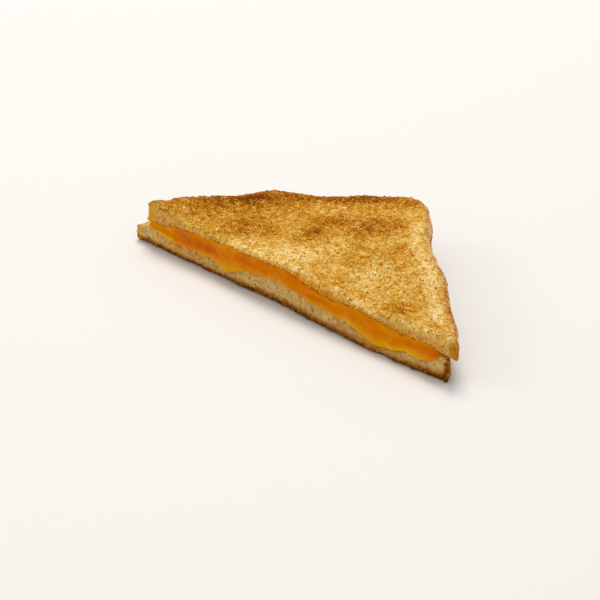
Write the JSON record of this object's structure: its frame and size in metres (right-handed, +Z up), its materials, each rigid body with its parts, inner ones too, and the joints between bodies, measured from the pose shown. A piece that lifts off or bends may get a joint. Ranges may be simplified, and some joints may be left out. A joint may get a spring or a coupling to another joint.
{
  "type": "grilled cheese sandwich half",
  "caption": "Triangular half of a grilled cheese sandwich: toasted loaf slices with melted cheese showing along the diagonal cut.",
  "frame": {"origin": "centre of the base of the object's box, on the surface it lies on", "axes": "+X along the diagonal cut, +Y from the cut face towards the slice's right-angled corner, +Z up"},
  "size_m": [0.1618, 0.0778, 0.0227],
  "materials": {
    "toasted_bread_lower": "buttered toast, brown crust, pale crumb at the cut",
    "melted_cheese": "soft orange melted cheese with a greasy sheen",
    "toasted_bread_upper": "golden buttered toast, mottled brown, pale crumb at the cut"
  },
  "bodies": {
    "root": {"bread_lower": "toasted_bread_lower", "cheese": "melted_cheese", "bread_upper": "toasted_bread_upper"}
  },
  "joints": []
}
